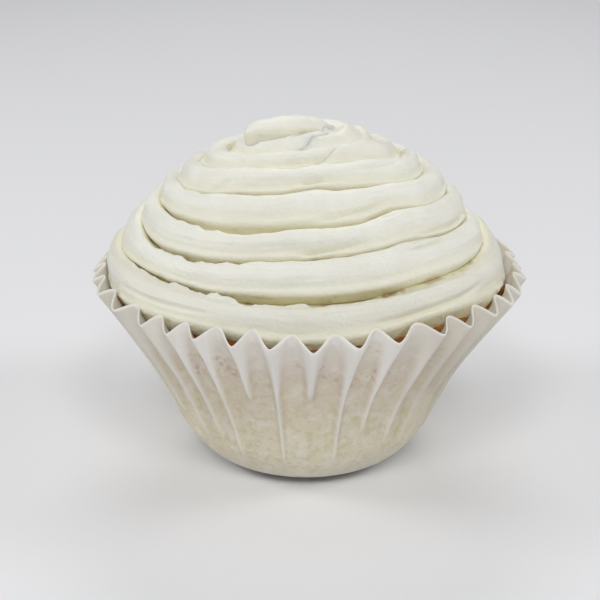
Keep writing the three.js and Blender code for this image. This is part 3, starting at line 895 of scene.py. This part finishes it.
def rope_tree():
    """Sweeps the ridged section along the rail, then wavers, streaks and tears it."""
    tree = bpy.data.node_groups.new("piped_rope", "GeometryNodeTree")
    face = tree.interface
    face.new_socket("Geometry", in_out="INPUT", socket_type="NodeSocketGeometry")
    sizes = {
        "Stations": len(rail_points), "Section points": SECTION_POINTS, "Waver": WAVER * MM,
        "Streaks": STREAKS * MM, "Lip tears": 1.0, "Gape depth": GAPE_DEPTH * MM,
        "Lumps": LUMPS * MM, "Heap radius": HEAP_RADIUS * MM, "Heap height": HEAP_HEIGHT * MM,
        "Seed": 3.0, "Room": FOLD_RADIUS * MM,
    }
    identifiers = {}
    for name, value in sizes.items():
        kind = "NodeSocketInt" if isinstance(value, int) else "NodeSocketFloat"
        socket = face.new_socket(name, in_out="INPUT", socket_type=kind)
        socket.default_value = value
        identifiers[socket.identifier] = value
    face.new_socket("Geometry", in_out="OUTPUT", socket_type="NodeSocketGeometry")
    given = results(tree, "NodeGroupInput")
    points, stations = given["Section points"], given["Stations"]
    here = result(tree, "GeometryNodeInputPosition")
    spot = results(tree, "ShaderNodeSeparateXYZ", {"Vector": here})
    from_middle = maths("SQRT", spot["X"] * spot["X"] + spot["Y"] * spot["Y"])

    def picked(geometry, value, index, kind):
        return result(tree, "GeometryNodeSampleIndex", {
            "Geometry": geometry, "Value": value, "Index": index}, "Value",
            data_type=kind, domain="POINT")

    def moved(geometry, **how):
        return result(tree, "GeometryNodeSetPosition", {"Geometry": geometry, **how})

    def noted(geometry, name, value):
        return result(tree, "GeometryNodeStoreNamedAttribute", {
            "Geometry": geometry, "Name": name, "Value": value},
            data_type="FLOAT", domain="POINT")

    def joined(x=0.0, y=0.0, z=0.0):
        return result(tree, "ShaderNodeCombineXYZ", {"X": x, "Y": y, "Z": z})

    def scaled(vector, amount):
        return result(tree, "ShaderNodeVectorMath", {
            "Vector": vector, "Scale": amount}, operation="SCALE")

    def added(first, second):
        return result(tree, "ShaderNodeVectorMath", {0: first, 1: second}, operation="ADD")

    # One column more than the section's points closes the rope underneath.
    grid = result(tree, "GeometryNodeMeshGrid", {
        "Size X": 1.0, "Size Y": 1.0, "Vertices X": points + 1.0, "Vertices Y": stations},
        "Mesh")
    # Place round the section, from 0 under the upper edge to 1 under the lower one; the
    # numbers that stand beside it below are such places.
    side = least((spot["X"] + 0.5) * (points / (points - 1.0)), 1.0)
    station = maths("ROUND", (spot["Y"] + 0.5) * (stations - 1.0))

    def rail_value(name, kind="FLOAT"):
        named = result(tree, "GeometryNodeInputNamedAttribute", {"Name": name}, "Attribute",
                       data_type=kind)
        return picked(given["Geometry"], named, station, kind)

    position = picked(given["Geometry"], here, station, "FLOAT_VECTOR")
    out, across = (rail_value(name, "FLOAT_VECTOR") for name in ("out", "across"))
    half, deep, tear, along, open_low, open_high, relief, roundness, filled, sag = (
        rail_value(name) for name in (
            "half", "deep", "tear", "along", "open_low", "open_high", "relief", "round",
            "fill", "skirt"))
    split_at, split_deep = rail_value("split_at"), rail_value("split_deep")

    def shape(column, low, high):
        curve = add_node(tree, "ShaderNodeFloatCurve", {"Value": side})
        curve_points = curve.mapping.curves[0].points
        knots = [(row[0], (row[column] - low) / (high - low)) for row in SECTION]
        curve_points[0].location = knots[0]
        curve_points[1].location = knots[-1]
        for knot in knots[1:-1]:
            curve_points.new(*knot)
        curve.mapping.update()
        return Output(tree, curve.outputs[0]) * (high - low) + low

    def wander(along_rate, side_rate, detail, offset):
        """Unevenness that runs along the rope and round its section, about 0.5."""
        return spots(joined(along * along_rate, side * side_rate, given["Seed"] + offset),
                     1.0, detail, 0.6)

    sideways = shape(1, -1.05, 1.05)
    below = shape(2, 0.0, ROPE_DEEP) * MM
    # Higher up the strands stand out more from one another.
    below = below + least(below, RIDGES_DEEP * MM) * relief
    # The last strands came from a nearly empty bag and are round.
    curved = 1.0 - maths("SQRT", most(1.0 - sideways * sideways, 0.0))
    below = below + most(curved * half - below, 0.0) * roundness
    last = rise(roundness, 0.7, 1.0)
    waist = rise(below, WAIST_FROM * MM, WAIST_FULL * MM) * last
    sideways = sideways * (1.0 - waist * 0.15)
    # The rope wavers, and the nozzle's teeth left broken streaks on its outer face.
    outer = fall(below, RIDGES_DEEP * MM, FACE_DEEP * MM)
    waver = centred(wander(0.06, 1.2, 2.0, 0.0), given["Waver"])
    broken = spread(wander(0.05, 2.0, 1.0, 21.0), 0.35, 0.65, 0.25, 1.3)
    streak = centred(wander(0.035, 13.0, 2.0, 5.0), given["Streaks"] * broken)
    fine = centred(wander(0.16, 34.0, 3.0, 14.0), given["Streaks"] * 0.6)
    streak = (streak + fine) * outer
    # The lip: the part of the section just inside its upper edge.
    near_lip = fall(maths("ABSOLUTE", side - LIP_SIDE), 0.0, LIP_REACH)
    ragged = most(wander(0.17, 1.5, 1.0, 9.0) - 0.42, 0.0)
    torn = centred(wander(0.9, 4.0, 3.0, 31.0), 1.2)
    lip = (ragged * 4.5 + torn) * near_lip * tear * given["Lip tears"]
    # The crease between turns gapes at the surface and closes below it.
    shallow = fall(below * filled / given["Gape depth"], 0.70, 1.0)
    sway = centred(wander(0.09, 0.0, 2.0, 41.0), SWAY * MM)
    gape = open_low * rise(side, 0.5, 0.8) - open_high * fall(side, 0.2, 0.45)
    gape = (gape + sway) * shallow
    # Behind its upper lip the rope falls away, the more so the wider the crease.
    behind = least(most(below - HOLLOW_FROM * MM, 0.0), HOLLOW_DEEP * MM)
    gape = gape - behind * (open_high / (HOLLOW_WIDE * MM)) * fall(side, 0.16, 0.20)
    # The first turn sags under itself on to the crust.
    skirt = rise(side, 0.80, 0.87) * (rise(below, 0.5 * MM, 2.5 * MM) * sag)
    tuck = rise(side, 0.86, 0.94) * (sag * 0.8)
    # Painted shade for the lowest turn, stronger on its upper part under the turn above.
    low = least(sag / (1.5 * MM), 1.0) * (0.5 + fall(side, 0.18, 0.5) * 0.5)
    # Grooves between strands of one turn.
    beside = maths("ABSOLUTE", sideways * half - split_at)
    groove = split_deep * fall(beside, 0.0, SPLIT_HALF * MM) * outer
    # Both ends of the rope draw in to a point.
    shrink = least(deep * 4.0, 1.0)
    across_by = sideways * half + shrink * (lip * 0.8 + (gape - skirt))
    out_by = (waver + streak - below) * deep + shrink * (lip * 0.4 - (groove + tuck))
    # How far a point lies in a crease, for the painted crease shade in its colour; less on the
    # lower side of a strand, on the last strands and where the ridges are lost, with some painted
    # shade on each underside.
    under = (below + groove * 1.6) / given["Gape depth"]
    under = most(under - rise(side, 0.3, 0.6) * 0.42, rise(side, 0.875, 0.905) * 0.36)
    under = under * (1.0 - last * 0.4)
    under = least(under, most(0.9 - roundness * 1.1, 0.26))
    # Painted shade on the lower part of a strand, which faces down.
    under = most(under, rise(side, 0.48, 0.76) * 0.24)
    # Painted shade on the underside of the lowest turn, where it sags on to the crust.
    under = most(under, rise(side, 0.85, 0.87) * low * 0.88)
    swept = grid
    for name, value in (("along", along), ("side", side), ("under", under), ("low", low)):
        swept = noted(swept, name, value)
    swept = moved(swept, Position=added(
        position, added(scaled(across, across_by), scaled(out, out_by))))
    # The last column of points lies on the first and is welded to it, as are the ends.
    beyond = result(tree, "GeometryNodeInputIndex") - points * stations
    swept = moved(swept, Selection=maths("GREATER_THAN", beyond, -0.5),
                  Position=picked(swept, here, beyond, "FLOAT_VECTOR"))
    swept = result(tree, "GeometryNodeMergeByDistance", {
        "Geometry": swept, "Distance": 0.001 * MM})
    # A coiled heap of icing fills the middle under the last strands.
    heap = result(tree, "GeometryNodeMeshUVSphere", {
        "Segments": HEAP_SEGMENTS, "Rings": HEAP_RINGS, "Radius": 1.0}, "Mesh")
    coil = maths("SINE", from_middle * COIL_PITCH + maths("ARCTAN2", spot["Y"], spot["X"]))
    raised = rise(from_middle, 0.04, 0.25) * fall(from_middle, 0.75, 0.95) * COIL_HEIGHT
    heap = noted(moved(heap, Offset=joined(z=coil * raised)), "under", HEAP_CREASE_SHADE)
    heap = result(tree, "GeometryNodeTransform", {
        "Geometry": heap, "Translation": [value * MM for value in HEAP_PLACE],
        "Scale": joined(given["Heap radius"], given["Heap radius"], given["Heap height"])})
    join = add_node(tree, "GeometryNodeJoinGeometry")
    for part in (swept, heap):
        plug(tree, join.inputs[0], part)
    icing = Output(tree, join.outputs[0])
    # Soft lumps, strongest toward the top, where the strands run together.
    size = given["Lumps"] * (rise(spot["Z"], LUMPS_FROM_Z * MM, LUMPS_FULL_Z * MM) * 2.0 + 0.8)
    lump = centred(spots(here, 170.0, 2.0, 0.5), size)
    icing = moved(icing, Offset=scaled(result(tree, "GeometryNodeInputNormal"), lump))
    # The inner folds of the paper hold the icing in.
    above = spot["Z"] - FOLD_Z * MM
    room = least(above * 0.86, above * 0.62) + given["Room"]
    share = least(room / most(from_middle, 1 * MM), 1.0)
    icing = moved(icing, Position=joined(spot["X"] * share, spot["Y"] * share, spot["Z"]))
    icing = result(tree, "GeometryNodeSetShadeSmooth", {"Geometry": icing})
    icing = result(tree, "GeometryNodeRealizeInstances", {"Geometry": icing})
    icing = result(tree, "GeometryNodeSetMaterial", {
        "Geometry": icing, "Material": buttercream})
    add_node(tree, "NodeGroupOutput", {0: icing})
    return tree, identifiers


def grown(target, tree, identifiers):
    """Plain mesh of a piece that its node tree makes."""
    modifier = target.modifiers.new("form", "NODES")
    modifier.node_group = tree
    for identifier, value in identifiers.items():
        modifier[identifier] = value
    bpy.context.view_layer.update()
    made = bpy.data.meshes.new_from_object(
        target.evaluated_get(bpy.context.evaluated_depsgraph_get()))
    target.modifiers.remove(modifier)
    old = target.data
    target.data = made
    bpy.data.meshes.remove(old)


grown(icing_rope, *rope_tree())
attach(icing_rope, "root")
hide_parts("icing")
